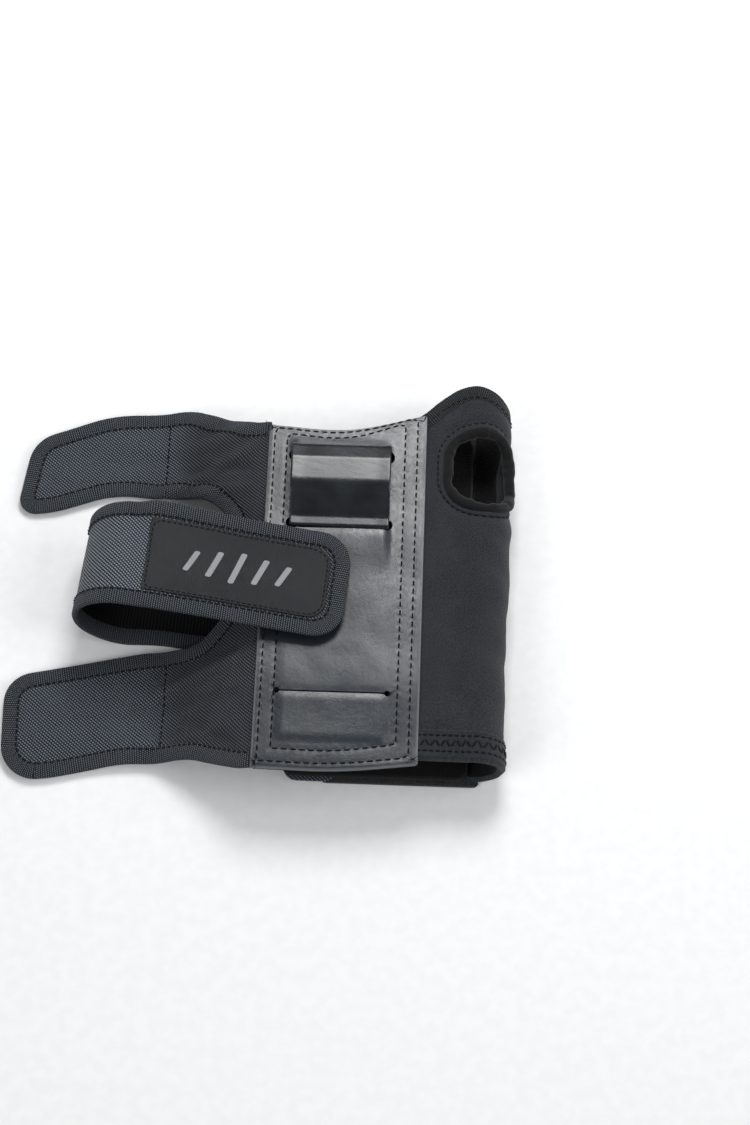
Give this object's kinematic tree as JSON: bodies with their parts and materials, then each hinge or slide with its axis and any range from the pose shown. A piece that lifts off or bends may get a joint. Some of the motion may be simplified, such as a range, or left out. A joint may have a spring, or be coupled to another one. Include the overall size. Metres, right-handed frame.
{
  "type": "wrist guard",
  "caption": "Left-hand wrist guard: neoprene sleeve with a thumb hole, leather palm panel over a raised plastic splint, hook-and-loop side tabs and a looped wrist strap.",
  "frame": {"origin": "on the resting plane (dorsal face), under the middle of the palm panel", "axes": "+X to the thumb side, across the hand; +Y along the forearm to the fingers; +Z from the dorsal face to the palm"},
  "size_m": [0.2443, 0.2016, 0.048],
  "materials": {
    "neoprene": "matt knitted face, near black",
    "edge_binding": "ribbed woven tape, navy black",
    "nylon": "coarse basket weave, slate blue black",
    "loop_pile": "fuzzy hook-and-loop pile",
    "hook_tape": "moulded hook tape, matt",
    "thread": "bonded polyester thread",
    "leather": "pebbled synthetic leather, semi-gloss",
    "splint_plastic": "polished black ABS",
    "splint_core": "matt black plastic",
    "foam": "fabric-faced foam",
    "label": "smooth satin label with a plain woven mark"
  },
  "bodies": {
    "sleeve": {"neoprene_sleeve": "neoprene", "forearm_hem": "neoprene", "thumb_hole_hem": "neoprene", "finger_edge_binding": "edge_binding", "palm_leather": "leather", "palm_stitching": "thread", "palm_splint": "splint_plastic", "palm_foam_pad": "foam", "wing_seam_tape": "nylon", "dorsal_loop_panel": "loop_pile", "dorsal_margin": "nylon", "dorsal_lining": "foam", "splint_pocket_welt": "edge_binding", "strap_leg": "nylon", "strap_leg_binding": "edge_binding"},
    "dorsal_splint": {"dorsal_splint": "splint_core"},
    "wing": {"side_wing": "nylon", "side_wing_binding": "edge_binding"},
    "upper_tab": {"upper_tab": "nylon", "upper_tab_binding": "edge_binding", "upper_tab_hook": "hook_tape", "upper_tab_stitching": "thread"},
    "lower_tab": {"lower_tab": "nylon", "lower_tab_binding": "edge_binding", "lower_tab_hook": "hook_tape", "lower_tab_stitching": "thread"},
    "strap_curl": {"strap_curl": "nylon", "strap_curl_binding": "edge_binding"},
    "strap_end": {"strap_end": "nylon", "strap_end_binding": "edge_binding", "strap_end_hook": "hook_tape", "strap_label": "label"}
  },
  "joints": [
    {"name": "wing_fold", "type": "hinge", "parent": "sleeve", "child": "wing", "pos_m": [-0.038, 0, 0.0312], "axis": [0, -1, 0], "range_deg": [0, 75]},
    {"name": "upper_tab_wrap", "type": "hinge", "parent": "wing", "child": "upper_tab", "pos_m": [-0.08415, 0.085, 0], "axis": [0, -1, 0], "range_deg": [0, 119]},
    {"name": "lower_tab_wrap", "type": "hinge", "parent": "wing", "child": "lower_tab", "pos_m": [-0.08415, -0.05, 0], "axis": [0, -1, 0], "range_deg": [0, 119]},
    {"name": "strap_curl_open", "type": "hinge", "parent": "sleeve", "child": "strap_curl", "pos_m": [-0.1, 0.009, 0], "axis": [-0.0872, -0.9962, 0], "range_deg": [0, 40]},
    {"name": "strap_end_lift", "type": "hinge", "parent": "strap_curl", "child": "strap_end", "pos_m": [-0.1, 0.0123, 0.048], "axis": [-0.0872, -0.9962, 0], "range_deg": [0, 90]},
    {"name": "dorsal_splint_slide", "type": "slide", "parent": "sleeve", "child": "dorsal_splint", "axis": [0, -1, 0], "range_m": [0, 0.15]}
  ]
}
